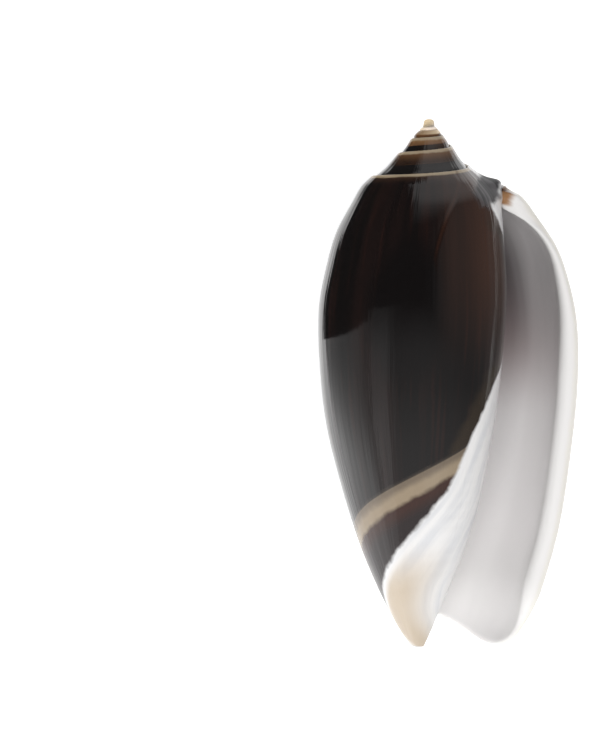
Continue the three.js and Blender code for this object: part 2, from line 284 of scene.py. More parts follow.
# %% The hollow
WALL, LIP_THIN, LIP_THICK, LIP_FADE, LIP_BULGE = 1.05, 0.9, 2.1, 0.04, 0.5
LIP_TOP, LIP_MIDDLE = 8.0, 26.0
BASE_TOP, BASE_END, BASE_SHARE = 46.0, 52.0, 0.35
FILL, FILL_DEPTH, FILL_FADE, FILL_TURNS = 2.6, 8.6, 1.1, 0.06
HOLLOW_TURNS, SIPHON_TURNS = 1.15, 0.45
HOLLOW_TOP, TOP_ROUNDING, BASE_ROUNDING = 1.3, 3.0, 5.0
HOLLOW_SHORTENING, LEAST_GAP = 0.8, 0.3
NOTCH_FALL, CORNER_FALL, CORNER_FADE = 0.07, 0.03, 0.012
CORNER_TURN, CORNER_DEPTH = 0.02, 47.0
TIP_ROUNDING = 0.2


def notch_fall(turn):
    notch = NOTCH_FALL * np.sin(2 * math.pi * np.clip(turn, 0, 0.5)) ** 2
    return 1 - notch - CORNER_FALL * np.exp(-turn / CORNER_FADE)


def bent_turn(turn, depth):
    bend = CORNER_TURN * smooth(CORNER_DEPTH, SHELL_LENGTH, depth)
    return turn + bend * np.clip(1 - 2 * turn, 0, 1) ** 2


def wall_at(turn, depth):
    edge = mix(LIP_THIN, LIP_THICK, smooth(LIP_TOP, LIP_MIDDLE, depth))
    thick = mix(WALL, edge, np.exp(-turn / LIP_FADE))
    fill = FILL * np.exp(-np.maximum(depth - FILL_DEPTH, 0) / FILL_FADE - turn / FILL_TURNS)
    return thick * mix(1, BASE_SHARE, smooth(BASE_TOP, BASE_END, depth)) + fill


def hollow_column(turn, rows):
    top = depth_at(turn + 1, SHOULDER_FALL) + HOLLOW_TOP * smooth(0.0, 0.06, turn)
    base = depth_at(turn, notch_fall(SIPHON_TURNS) + (SIPHON_TURNS - turn) * HOLLOW_SHORTENING)
    share = np.arange(rows + 1) / rows
    inner_depth = mix(top, min(SHELL_LENGTH, base), share)
    inner_radius = radius_at(turn + 1 + 0 * share, inner_depth)
    depth = mix(top, min(depth_at(turn, notch_fall(turn)), base), share)
    bent = bent_turn(turn, depth)
    floor = radius_at(turn + 1 + 0 * share, depth)
    room = radius_at(bent, depth) - wall_at(turn, depth) - floor
    gap = (room + np.hypot(room, LEAST_GAP)) / 2
    ends = rounded((depth - top) / TOP_ROUNDING) * rounded((base - depth) / BASE_ROUNDING)
    return (bent, floor + gap * ends, depth), (turn + 1 + 0 * share, inner_radius, inner_depth)


# %% [markdown]
# Now the skin. Every column of points shares its ends with its neighbours: the groove at
# the foot of one whorl is the top of the next, and the hollow starts on the points of
# the body whorl. So the whole shell is one closed mesh with no seams, and gloss runs
# over it without a break. A boolean of two solids would leave slivers along each cut.

# %% Grid sizes
STEPS = 200  # columns in a turn
SHOULDER_PIECES = 4
FACE_ROWS = 130
DEEP_STRIDE = 3  # past the siphon the hollow is coarser
EDGE_ROWS = 9
SHOULDER_ROWS = 6 * SHOULDER_PIECES

FIELDS = ("turn", "depth", "callus", "fasciole", "rim", "ledge", "mouth", "scar", "spot")
FAR_OFF = 9.0  # mm, for a field where its marking doesn't run
LEDGE_OFF = 4.0
FRONT_LIMIT = -2.0


class Skin:
    """Collects points in the shell's frame, their fields, and faces."""

    def __init__(self):
        self.points = []
        self.fields = []
        self.faces = []

    def add(self, point, **fields):
        self.points.append(point)
        self.fields.append([float(fields[name]) for name in FIELDS])
        return len(self.points) - 1

    def quad(self, a, b, c, d, inside=False):
        corners = list(dict.fromkeys((a, b, c, d)))
        if len(corners) > 2:
            self.faces.append((corners, inside))


def place(turn, radius, depth):
    angle = -2 * math.pi * turn
    return np.stack([radius * np.cos(angle), -depth, radius * np.sin(angle)], axis=-1)


def spot_distance(points, spot):
    """How far points are from a spot on the shell's front, as seen from there."""
    x, y, z = np.asarray(points).T
    return np.hypot(x - spot[0], y - spot[1]) + FAR_OFF * (z < FRONT_LIMIT)


skin = Skin()


# %% Outside
def lay_column(turn):
    """Points and fields of one column of the outside, from its groove to the base."""
    profile = fine_shoulder(np.array(turn), SHOULDER_PIECES)
    crest, ledge_corner = 2 * SHOULDER_PIECES, 4 * SHOULDER_PIECES
    from_rim = np.hypot(*(profile - profile[crest]).T)
    side = np.sign(np.arange(len(profile)) - ledge_corner)
    past = np.hypot(*(profile - profile[ledge_corner]).T) * side
    past = past - LEDGE_OFF * (1 - smooth(CALLUS_START, 0.99, turn))
    radius, depth = profile.T
    if turn <= 1:
        rows = np.arange(1, FACE_ROWS + 1) / FACE_ROWS
        face_depth = mix(depth[-1], depth_at(turn, notch_fall(turn)), rows)
        face_radius = radius_at(bent_turn(turn, face_depth), face_depth) + corner_pad(turn, face_depth)
        radius, depth = np.append(radius, face_radius), np.append(depth, face_depth)
        out, down = face_radius - profile[crest][0], face_depth - profile[crest][1]
        from_rim = np.append(from_rim, np.hypot(out, down))
        past = np.append(past, past[-1] * (1 - rows) - LEDGE_OFF * rows)
    bent = bent_turn(turn, depth)
    callus, groove, scar = (np.full(len(depth), far) for far in (-FAR_OFF, -FAR_OFF, FAR_OFF))
    if turn <= 1:
        groove = fasciole_distance(bent, depth)
        callus = line_distance(CALLUS_EDGE, bent, depth, radius)
        scar = line_distance(SCAR_LINE, bent, depth, radius)
        shown = (1 - smooth(0.9, 1.0, turn)) * smooth(0.44, 0.5, turn)
        radius = radius + callus_relief(bent, depth, radius) * shown
    edge = np.minimum(turn * 2 * math.pi * radius, FAR_OFF)
    if turn < SIPHON_TURNS:
        edge = np.minimum(edge, depth_at(turn, notch_fall(turn)) - depth)
    points = place(bent, radius, depth)
    spot = spot_distance(points, KNOT_PLACE)
    return [
        skin.add(
            points[k], turn=bent[k], depth=depth[k], callus=callus[k], scar=scar[k], spot=spot[k],
            fasciole=groove[k], rim=from_rim[k], ledge=past[k], mouth=-edge[k],
        )
        for k in range(len(points))
    ]


outside = []
for i in range(int(COILED_TURNS * STEPS) + 1):
    column = lay_column(i / STEPS)
    if i >= STEPS:
        column[SHOULDER_ROWS] = outside[i - STEPS][0]
    outside.append(column)

for i in range(len(outside) - 1):
    here, beside = outside[i], outside[i + 1]
    for j in range(len(here) - 1 if i < STEPS else SHOULDER_ROWS):
        skin.quad(here[j], here[j + 1], beside[j + 1], beside[j])
print("outside:", len(outside), "columns,", len(skin.faces), "faces")

# %% [markdown]
# The hollow is laid in the same columns, as an outer and an inner side. At its top the
# two sides share their points, and past the siphon they share them at the base too, so
# it closes by itself. Deep inside, where nobody sees it, the columns stand wider apart.

# %% Hollow
INSIDE = dict(callus=2, fasciole=-FAR_OFF, rim=FAR_OFF, ledge=-LEDGE_OFF, scar=FAR_OFF)
MOUTH_DEEP = 40.0
SIPHON_COLUMN = round(SIPHON_TURNS * STEPS)
deep = np.arange(SIPHON_COLUMN + DEEP_STRIDE, HOLLOW_TURNS * STEPS, DEEP_STRIDE)
hollow = []
for i in [*range(SIPHON_COLUMN + 1), *deep]:
    outer, inner = hollow_column(i / STEPS, FACE_ROWS)
    sides = []
    for turns, radius, depth in (outer, inner):
        points = place(turns, radius, depth)
        behind = LIP_THICK + np.minimum(turns * 2 * math.pi * radius, MOUTH_DEEP)
        spot = spot_distance(points, STAIN_PLACE)
        sides.append([
            skin.add(points[k], turn=turns[k], depth=depth[k], mouth=behind[k], spot=spot[k], **INSIDE)
            for k in range(len(points))
        ])
    if i == 0:
        sides[1] = outside[STEPS][SHOULDER_ROWS:]
    sides[0][0] = sides[1][0]
    if i >= SIPHON_COLUMN:
        sides[0][-1] = sides[1][-1]
    hollow.append(sides)

for here, beside in zip(hollow, hollow[1:]):
    for j in range(FACE_ROWS):
        skin.quad(here[1][j], here[1][j + 1], beside[1][j + 1], beside[1][j], inside=True)
        skin.quad(here[0][j], beside[0][j], beside[0][j + 1], here[0][j + 1], inside=True)
outer, inner = hollow[-1]
for j in range(FACE_ROWS):
    skin.quad(inner[j], inner[j + 1], outer[j + 1], outer[j], inside=True)
print("with the hollow:", len(skin.faces), "faces")

# %% [markdown]
# A real lip has no sharp edge. Between the outside and the hollow we lay rows of points
# on half an oval that bulges by half the lip's thickness. It follows the lip down to the
# base and round the notch, so both edges are one strip.

# %% Rounded lip and notch
def lay_lip():
    pairs = [(hollow[0][0][max(j - SHOULDER_ROWS, 0)], b) for j, b in enumerate(outside[0])]
    pairs += [(hollow[i][0][-1], outside[i][-1]) for i in range(1, SIPHON_COLUMN + 1)]
    inside_points = np.array([skin.points[a] for a, b in pairs])
    outside_points = np.array([skin.points[b] for a, b in pairs])
    across = outside_points - inside_points
    middles = (outside_points + inside_points) / 2
    along = np.gradient(middles, axis=0)
    thickness = np.minimum(np.linalg.norm(across, axis=1), LIP_THICK)
    bulge = np.cross(along, across)
    bulge /= np.maximum(np.linalg.norm(bulge, axis=1), 1e-9)[:, None]
    bulge *= (LIP_BULGE * thickness)[:, None]
    rows = []
    for k, (a, b) in enumerate(pairs):
        row = [a]
        fields = skin.fields[b]
        for m in range(1, EDGE_ROWS):
            angle = math.pi * m / EDGE_ROWS
            share = (1 - math.cos(angle)) / 2
            point = inside_points[k] + across[k] * share + bulge[k] * math.sin(angle)
            distance = thickness[k] * (1 - share)
            spot = spot_distance(point, STAIN_PLACE)
            row.append(a if a == b else skin.add(
                point, turn=fields[0], depth=fields[1], mouth=distance, spot=spot, **INSIDE,
            ))
        rows.append(row + [b])
    for here, beside in zip(rows, rows[1:]):
        for m in range(EDGE_ROWS):
            skin.quad(here[m], beside[m], beside[m + 1], here[m + 1], inside=True)
    return rows[-1][1:-1]


lip_end = lay_lip()
print("with the lip:", len(skin.faces), "faces")

# %% [markdown]
# Two openings are left: the nucleus at the top of the spire and the columella's tip. Each
# is a loop of points round the axis, and rings that shrink towards the axis close it. The
# power says how flat the small dome is.

# %% Apex and tip of the columella
def close(loop, height, power, facing_up, rings=6):
    """Closes a loop of points with a small dome that ends at this height on the axis."""
    loop_points = np.array([skin.points[k] for k in loop])
    fields = dict(zip(FIELDS, skin.fields[loop[0]]))
    last = loop
    for ring in range(1, rings):
        share = 1 - ring / rings
        rise = (1 - share**power) ** (1 / power)
        points = loop_points * (share, 1, share)
        points[:, 1] = mix(loop_points[:, 1], height, rise)
        now = [skin.add(point, **fields) for point in points]
        for k in range(len(loop)):
            corners = (last[k], now[k], now[k - 1], last[k - 1])
            skin.quad(*(corners if facing_up else corners[::-1]))
        last = now
    top = skin.add(np.array([0, height, 0]), **fields)
    for k in range(len(loop)):
        corners = (last[k], top, last[k - 1])
        skin.faces.append((list(corners if facing_up else corners[::-1]), False))


first = len(outside) - 1 - STEPS
close([c[0] for c in outside[first:]] + outside[-1][1:SHOULDER_ROWS], 0.0, 3.0, True)
tip_front = [outside[i][-1] for i in range(SIPHON_COLUMN, STEPS + 1)]
tip_back = [hollow[i][1][-1] for i in range(1, SIPHON_COLUMN + 1)]
close(tip_front + tip_back + lip_end, -SHELL_LENGTH - TIP_ROUNDING, 2.0, False)
print("whole skin:", len(skin.points), "points,", len(skin.faces), "faces")

# %% [markdown]
# The points go to the world in metres. The frame is a little coarser than this skin, so
# the skin is brought to the same box, with its lowest points cut to the same small flat.

# %% One mesh
points = np.array(skin.points) @ np.array(turn_to_world.to_3x3()).T * MM
low, high = points.min(axis=0), points.max(axis=0)
frame_low, frame_high = (np.array(corner) for corner in cad_box)
ratios = (frame_high - frame_low + (0, 0, REST_CUT * MM)) / (high - low)
fit = min(1.0, float(ratios.min()))
goal = np.array([*(frame_low + frame_high)[:2] / 2, -REST_CUT * MM])
shift = goal - fit * np.array([*(low + high)[:2] / 2, low[2]])
points = points * fit + shift
points[:, 2] = np.maximum(points[:, 2], 0.0)
print("fit", round(fit, 5), "size", np.round(np.ptp(points, axis=0) * 1000, 2), "mm")

mesh = bpy.data.meshes.new("olive_shell")
mesh.from_pydata(points.tolist(), [], [corners for corners, inside in skin.faces])
mesh.polygons.foreach_set("use_smooth", [True] * len(mesh.polygons))
mesh.polygons.foreach_set("material_index", [int(inside) for corners, inside in skin.faces])
for k, name in enumerate(FIELDS):
    layer = mesh.attributes.new(name, "FLOAT", "POINT")
    layer.data.foreach_set("value", [row[k] for row in skin.fields])
mesh.update()
shell = bpy.data.objects.new("olive_shell", mesh)
bpy.context.scene.collection.objects.link(shell)
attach(shell, "root")
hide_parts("shell")
print("triangles", sum(len(p.vertices) - 2 for p in mesh.polygons))

# %% [markdown]
# The camera looks along the shell's own front, tipped so that the top of each whorl just
# shows, from a little way off through a long lens. The shell isn't at the picture's
# middle, so the camera aims at a point beside it, at the left.

# %% Camera
CAMERA_LEAN = math.radians(1.25)
CAMERA_TIP = math.radians(4)
CAMERA_DISTANCE = 0.8
FRAME_HEIGHT = 0.0756
AIM_LEFT, AIM_DOWN = 12.94, 25.91  # mm from the apex
SENSOR = 36

to_camera = Vector((0, math.sin(CAMERA_TIP), math.cos(CAMERA_TIP)))
apex_side = Vector((0, math.cos(CAMERA_TIP), -math.sin(CAMERA_TIP)))
right = Vector((math.cos(CAMERA_LEAN), 0, 0)) + apex_side * math.sin(CAMERA_LEAN)
up = Vector((-math.sin(CAMERA_LEAN), 0, 0)) + apex_side * math.cos(CAMERA_LEAN)
aim_in_shell = (right * -AIM_LEFT - up * AIM_DOWN) * MM * fit

turn3 = turn_to_world.to_3x3()
aim = turn3 @ aim_in_shell + Vector(shift)
view_axis = turn3 @ to_camera
camera_data = bpy.data.cameras.new("camera")
camera = bpy.data.objects.new("camera", camera_data)
bpy.context.scene.collection.objects.link(camera)
axes = Matrix((turn3 @ right, turn3 @ up, view_axis)).transposed()
camera.matrix_world = Matrix.Translation(aim + view_axis * CAMERA_DISTANCE) @ axes.to_4x4()
camera_data.sensor_fit = "VERTICAL"
camera_data.sensor_height = SENSOR
camera_data.lens = SENSOR * CAMERA_DISTANCE / (FRAME_HEIGHT * fit)
camera_data.clip_start = 0.01
bpy.context.scene.camera = camera
print("camera looks down at", round(math.degrees(math.asin(view_axis.z)), 1), "degrees")

# %% [markdown]
# The table, the room and every finish here are wired from the same few kinds of node.
# One small function adds a node with its settings and its inputs, each a number or
# another node's output, so a material reads from top to bottom like a recipe.

# %% Wiring helpers
def put(tree, kind, inputs=(), **settings):
    made = tree.nodes.new("ShaderNode" + kind)
    for name, value in settings.items():
        setattr(made, name, value)
    for socket, value in dict(inputs).items():
        if isinstance(value, bpy.types.NodeSocket):
            tree.links.new(value, made.inputs[socket])
        else:
            made.inputs[socket].default_value = value
    return made


def calc(tree, operation, *values):
    return put(tree, "Math", enumerate(values), operation=operation).outputs[0]


def plus(tree, a, b):
    return calc(tree, "ADD", a, b)


def minus(tree, a, b):
    return calc(tree, "SUBTRACT", a, b)


def times(tree, a, b):
    return calc(tree, "MULTIPLY", a, b)


def larger(tree, a, b):
    return calc(tree, "MAXIMUM", a, b)


def ramp(tree, value, start, end, low=0.0, high=1.0):
    """A smooth step from low to high as the value goes from start to end."""
    inputs = {"Value": value, "From Min": start, "From Max": end, "To Min": low, "To Max": high}
    return put(tree, "MapRange", inputs, interpolation_type="SMOOTHSTEP").outputs["Result"]


def blend(tree, share, a, b):
    """Colour a going over to colour b. Each is three numbers or another node's output."""
    made = put(tree, "Mix", {0: share}, data_type="RGBA")
    for socket, value in ((6, a), (7, b)):
        if isinstance(value, bpy.types.NodeSocket):
            tree.links.new(value, made.inputs[socket])
        else:
            made.inputs[socket].default_value = (*value, 1)
    return made.outputs[2]


def new_paint(name):
    paint = bpy.data.materials.new(name)
    paint.use_nodes = True
    return paint, paint.node_tree, paint.node_tree.nodes["Principled BSDF"]


# %% [markdown]
# The table is plain white, so the shell stands out by itself. It glows a little, as a lit
# backdrop does, which keeps it white right up to the shell and leaves a pale shadow. More
# exposure would do that too, but it would wash out the enamel.

# %% Table
FLOOR_HALF = 1.2
TABLE_GLOW = 0.75
CORNERS = ((-1, -1), (1, -1), (1, 1), (-1, 1))


def plain_sheet(name, corners):
    sheet = bpy.data.meshes.new(name)
    sheet.from_pydata(corners, [], [range(len(corners))])
    made = bpy.data.objects.new(name, sheet)
    bpy.context.scene.collection.objects.link(made)
    return made


floor = plain_sheet("table", [(x * FLOOR_HALF, y * FLOOR_HALF, 0) for x, y in CORNERS])
floor_paint, _, floor_bsdf = new_paint("table_white")
floor_bsdf.inputs["Base Color"].default_value = (0.9, 0.9, 0.9, 1)
floor_bsdf.inputs["Roughness"].default_value = 0.9
floor_bsdf.inputs["Specular IOR Level"].default_value = 0.1
floor_bsdf.inputs["Emission Color"].default_value = (1, 1, 1, 1)
floor_bsdf.inputs["Emission Strength"].default_value = TABLE_GLOW
floor.data.materials.append(floor_paint)
print("table", FLOOR_HALF * 2, "m wide")

# %% [markdown]
# Enamel is a mirror over a dark ground, so most of what we see on the dark side is what
# stands round it. Its upper part mirrors something black and its lower part something
# grey, with a crisp border. So a black card lies on the table towards the apex and a grey
# one towards the base, and only reflections see them. A border painted on the shell would
# stay in place when we look from elsewhere, as no reflection does.

# %% Black and grey cards
CARD_NEAR, CARD_FAR = -13.2, -1200  # mm, the side next to the shell and the side far off
EDGE_NEAR, EDGE_FAR = 4.3, -60  # the border of the two cards at those sides
CARD_LOW, CARD_RIGHT = -400, 300
CARD_GAP = 1
CARD_LIFT = 0.0004
CARD_BLACK = (0.02, 0.02, 0.02, 1)


def hidden_card(name, corners):
    """A card that only reflections see, as if it stood just outside the picture."""
    card = plain_sheet(name, [(x * MM, y * MM, CARD_LIFT) for x, y in corners])
    card.visible_camera = False
    card.visible_diffuse = False
    card.visible_shadow = False
    paper, tree, bsdf = new_paint(name + "_paper")
    card.data.materials.append(paper)
    bsdf.inputs["Base Color"].default_value = CARD_BLACK
    bsdf.inputs["Roughness"].default_value = 0.9
    return tree, bsdf


past_the_shell = [(CARD_NEAR, 19), (-6, 27), (4, 45)]
black_corners = [(CARD_FAR, EDGE_FAR), (CARD_NEAR, EDGE_NEAR), *past_the_shell]
black_corners += [(CARD_RIGHT, -CARD_FAR), (CARD_FAR, -CARD_FAR)]
hidden_card("black_card", black_corners)

grey_near = CARD_NEAR - CARD_GAP
grey_corners = [(CARD_FAR, CARD_LOW), (grey_near, CARD_LOW), (grey_near, EDGE_NEAR)]
grey_tree, grey_bsdf = hidden_card("grey_card", [*grey_corners, (CARD_FAR, EDGE_FAR)])
grey_bsdf.inputs["Emission Strength"].default_value = 1.0

# %% Glow of the grey card
GREY_START, GREY_END = 0.45, 1.7  # beside the border, and towards the shell's base
GREY_FAR, GREY_NEAR = 0.55, 1.15  # share of that at the horizon, and near the shell

card_place = put(grey_tree, "SeparateXYZ", {0: put(grey_tree, "TexCoord").outputs["Object"]})
card_x, card_y = card_place.outputs["X"], card_place.outputs["Y"]
slant = calc(grey_tree, "DIVIDE", minus(grey_tree, card_y, EDGE_NEAR * MM), card_x)
slant_glow = ramp(grey_tree, slant, 0.05, 0.9, GREY_START, GREY_END)
nearness = calc(grey_tree, "DIVIDE", CARD_NEAR * MM, card_x)
near_share = ramp(grey_tree, nearness, 0.0, 0.35, GREY_FAR, GREY_NEAR)
card_glow = times(grey_tree, slant_glow, near_share)
grey_tree.links.new(card_glow, grey_bsdf.inputs["Emission Color"])
print("cards", CARD_NEAR, "to", CARD_FAR, "mm beside the shell")

# %% [markdown]
# Two light boxes light the colours. One stands at the lower right and shines into the
# aperture, and the other is nearly in front. They don't show in the gloss, where two
# white squares would look false. Their places are said in the directions of the shell's
# front, which one function turns to the world.

# %% Light boxes
BOX_SIZE = (0.26, 0.26)


def from_front(x, y, z):
    """A direction said as right, towards the apex, and to the viewer, in the world."""
    return turn3 @ (right * x + up * y) + view_axis * z


def softbox(name, place_in_front, size, glow):
    """A light box that faces the shell. Its glow is its radiance, white paper being 1."""
    data = bpy.data.lights.new(name, "AREA")
    data.shape = "RECTANGLE"
    data.size, data.size_y = size
    data.energy = glow * math.pi * size[0] * size[1]
    lamp = bpy.data.objects.new(name, data)
    bpy.context.scene.collection.objects.link(lamp)
    lamp.visible_glossy = False
    at = from_front(*place_in_front)
    toward = at.normalized()
    side = from_front(0, 1, 0).cross(toward).normalized()
    turned = Matrix((side, toward.cross(side), toward)).transposed().to_4x4()
    lamp.matrix_world = Matrix.Translation(at) @ turned
    return lamp


key = softbox("key_box", (0.26, -0.26, 0.43), BOX_SIZE, 5.5)
front_fill = softbox("front_box", (-0.03, -0.08, 0.56), BOX_SIZE, 7.3)
print("light boxes", [round(box.data.energy, 2) for box in (key, front_fill)], "W")

# %% [markdown]
# The rest of what the enamel mirrors is the room. It is dark, with haze towards the
# shell's base, a brighter glow at the low left, a strip at the upper right and a grey
# wall at the right. Each is a smooth step over the direction in which a ray leaves, and
# the brightest one counts. Large glowing planes could give the same picture, but they
# would also light the table unevenly.

# %% Room
DARK_ROOM, HAZE, STRIP, RIGHT_WALL = 0.04, 0.8, 0.85, 0.22
LEFT_START, LEFT_END = 0.16, 1.5
ROOM_TINT = (1.0, 0.985, 0.985, 1)

world = bpy.data.worlds.new("studio")
bpy.context.scene.world = world
world.use_nodes = True
room = world.node_tree
direction = put(room, "TexCoord").outputs["Generated"]


def along(x, y):
    """How far a ray goes to the shell's right (x) or towards its apex (y)."""
    inputs = {0: direction, 1: from_front(x, y, 0)[:]}
    return put(room, "VectorMath", inputs, operation="DOT_PRODUCT").outputs["Value"]


to_right, to_apex = along(1, 0), along(0, 1)
haze = ramp(room, to_apex, 0.02, -0.75, 0.0, HAZE)
low_left = times(room, ramp(room, to_apex, 0.0, -0.02), ramp(room, to_right, -0.2, -0.75))
left_glow = times(room, ramp(room, to_apex, 0.0, -0.65, LEFT_START, LEFT_END), low_left)
strip = times(room, ramp(room, to_apex, 0.4, 0.95, 0.0, STRIP), ramp(room, to_right, -0.3, -0.24))
wall = ramp(room, to_right, 0.1, 0.7, 0.0, RIGHT_WALL)
brightest = larger(room, larger(room, haze, left_glow), larger(room, strip, wall))
background = room.nodes["Background"]
background.inputs["Color"].default_value = ROOM_TINT
room.links.new(plus(room, brightest, DARK_ROOM), background.inputs["Strength"])
bpy.context.scene.view_settings.view_transform = "Standard"
print("room from", DARK_ROOM, "to", round(LEFT_END + DARK_ROOM, 2))

# %% [markdown]
# The animal adds to its lip a little at a time, so colour and relief run in lines along
# the lip, all the way round the coil. Noise stretched along those lines gives both. It
# reads turn and depth, which the mesh carries, so it has no seam. The dark enamel and
# the porcelain share it, and they share the soft, slightly wandering edge of a marking,
# so both are node groups.

# %% Shared groups
GROWTH_PER_TURN, GROWTH_PER_MM = 60.0, 0.05
MM_PER_TURN = 40.0  # about the girth where most markings are


def new_group(name, inputs, outputs):
    tree = bpy.data.node_groups.new(name, "ShaderNodeTree")
    for label, start in inputs.items():
        socket = tree.interface.new_socket(label, in_out="INPUT", socket_type="NodeSocketFloat")
        socket.default_value = start
    for label in outputs:
        tree.interface.new_socket(label, in_out="OUTPUT", socket_type="NodeSocketFloat")
    given = tree.nodes.new("NodeGroupInput").outputs
    out = tree.nodes.new("NodeGroupOutput").inputs
    return tree, given, out


def noise(tree, where, scale):
    return put(tree, "TexNoise", {"Vector": where, "Scale": scale, "Detail": 3.0}).outputs["Fac"]


def make_growth_lines():
    names = ("Broad", "Fine", "Height")
    tree, given, out = new_group("growth_lines", {"Turn": 0.0, "Depth": 0.0}, names)
    around = times(tree, given["Turn"], GROWTH_PER_TURN)
    along_lip = times(tree, given["Depth"], GROWTH_PER_MM)
    where = put(tree, "CombineXYZ", {0: around, 1: along_lip}).outputs[0]
    broad, fine = noise(tree, where, 0.3), noise(tree, where, 1.6)
    height = plus(tree, times(tree, fine, 0.35), broad)
    for name, value in zip(names, (broad, fine, height)):
        tree.links.new(value, out[name])
    return tree


def make_soft_edge():
    inputs = {"Distance": 0.0, "Width": 0.3, "Wander": 0.2, "Turn": 0.0, "Depth": 0.0}
    tree, given, out = new_group("soft_edge", inputs, ("Mask",))
    around = times(tree, given["Turn"], MM_PER_TURN)
    where = put(tree, "CombineXYZ", {0: around, 1: given["Depth"]}).outputs[0]
    off_middle = minus(tree, noise(tree, where, 0.8), 0.5)
    wandered = plus(tree, given["Distance"], times(tree, off_middle, times(tree, given["Wander"], 2.0)))
    past = calc(tree, "DIVIDE", wandered, given["Width"])
    tree.links.new(ramp(tree, past, -0.5, 0.5), out["Mask"])
    return tree


growth_lines = make_growth_lines()
soft_edge = make_soft_edge()
print("groups", [growth_lines.name, soft_edge.name])


# %% Groups in use
def field(tree, name):
    return put(tree, "Attribute", attribute_name=name).outputs["Fac"]


def growth(tree, at):
    inputs = {"Turn": at["turn"], "Depth": at["depth"]}
    return put(tree, "Group", inputs, node_tree=growth_lines).outputs


def marking(tree, at, distance, width, wander):
    """1 where the distance past a line is positive, with an edge this wide in mm."""
    inputs = {
        "Distance": distance, "Width": width, "Wander": wander,
        "Turn": at["turn"], "Depth": at["depth"],
    }
    return put(tree, "Group", inputs, node_tree=soft_edge).outputs["Mask"]


# %% [markdown]
# The outside is near-black brown with reddish and darker streaks. Colours that the shell
# keeps in fixed places are laid over it in turn: orange-brown under each rim, the cream
# of the first whorls, dark ledges, the tan band beside the groove with its red lower
# border, and last the white callus. Layers in one material follow how the real enamel
# lies, one coat over another, and they can't leave gaps as separate patches would.

# %% Body whorl
DARKEST, BROWN = (0.0042, 0.0034, 0.0034), (0.0085, 0.0050, 0.0046)
REDDISH, CHESTNUT = (0.015, 0.0065, 0.0052), (0.042, 0.0165, 0.009)
OLIVE, EARTH = (0.022, 0.015, 0.009), (0.036, 0.018, 0.011)
CLOUD_TURN, CLOUD_TURNS = 0.72, 0.075  # a darker cloud in front: its middle and half width
CLOUD_DEPTH, CLOUD_LENGTH = 19.0, 7.0
OLIVE_BORDER = 1.7  # mm, along the callus


def streaked(tree, lines):
    """Brown enamel with darker and redder streaks along the growth lines."""
    brown = blend(tree, ramp(tree, lines["Broad"], 0.40, 0.58), DARKEST, BROWN)
    return blend(tree, ramp(tree, lines["Fine"], 0.52, 0.68, 0, 0.7), brown, REDDISH)


def body_colours(tree, at, lines):
    """The streaks with a dark cloud, chestnut in the upper front, and olive by the callus."""
    turn, depth = at["turn"], at["depth"]
    across = calc(tree, "DIVIDE", minus(tree, turn, CLOUD_TURN), CLOUD_TURNS)
    down = calc(tree, "DIVIDE", minus(tree, depth, CLOUD_DEPTH), CLOUD_LENGTH)
    from_cloud = plus(tree, times(tree, across, across), times(tree, down, down))
    colour = blend(tree, ramp(tree, from_cloud, 1.6, 0.5), streaked(tree, lines), DARKEST)
    first_step = ramp(tree, turn, 0.76, 0.80, 0.0, 0.3)
    second_step = ramp(tree, turn, 0.81, 0.88, 0.0, 0.5)
    upper_front = times(tree, ramp(tree, depth, 26.0, 13.0), ramp(tree, turn, 1.02, 1.0))
    reddened = times(tree, plus(tree, first_step, second_step), upper_front)
    colour = blend(tree, reddened, colour, CHESTNUT)
    by_callus = marking(tree, at, plus(tree, at["callus"], OLIVE_BORDER), 1.2, 0.6)
    colour = blend(tree, times(tree, by_callus, ramp(tree, depth, 8.0, 13.0)), colour, OLIVE)
    return blend(tree, ramp(tree, at["rim"], 0.2, 1.3, 1.0, 0.0), colour, EARTH)


# %% Spire
CREAM, NUCLEUS_PINK = (0.78, 0.62, 0.40), (0.90, 0.78, 0.66)
TAN, ORANGE = (0.32, 0.255, 0.17), (0.17, 0.088, 0.04)
LEDGE_BLACK, LEDGE_BROWN = (0.007, 0.006, 0.006), (0.10, 0.045, 0.018)
RIM_LINE = 0.36  # mm, half the tan line along each rim


def face_colours(tree, at, ground):
    """Cream first whorls, going over orange-brown to the dark of the last ones."""
    turn = at["turn"]
    earth = blend(tree, ramp(tree, at["rim"], 0.15, 1.6), ORANGE, EARTH)
    colour = blend(tree, ramp(tree, turn, 1.3, 2.6, 0.35), ground, earth)
    colour = blend(tree, ramp(tree, turn, 1.02, 1.0), colour, ground)
    for start, end, shade in ((2.4, 3.6, ORANGE), (3.5, 4.1, CREAM), (4.4, 4.8, NUCLEUS_PINK)):
        colour = blend(tree, ramp(tree, turn, start, end), colour, shade)
    return colour


def spire_colours(tree, at, ground):
    """The faces with the ledges, brown on the first whorls and then black, and the rims."""
    turn = at["turn"]
    colour = face_colours(tree, at, ground)
    on_ledge = marking(tree, at, at["ledge"], 0.15, 0.05)
    colour = blend(tree, times(tree, on_ledge, ramp(tree, turn, 4.7, 4.2)), colour, LEDGE_BROWN)
    colour = blend(tree, times(tree, on_ledge, ramp(tree, turn, 3.4, 2.6)), colour, LEDGE_BLACK)
    rim_line = marking(tree, at, minus(tree, RIM_LINE, at["rim"]), 0.25, 0.12)
    shown = ramp(tree, turn, 4.0, 3.0, 0.0, 0.9)
    return blend(tree, times(tree, rim_line, shown), colour, TAN)


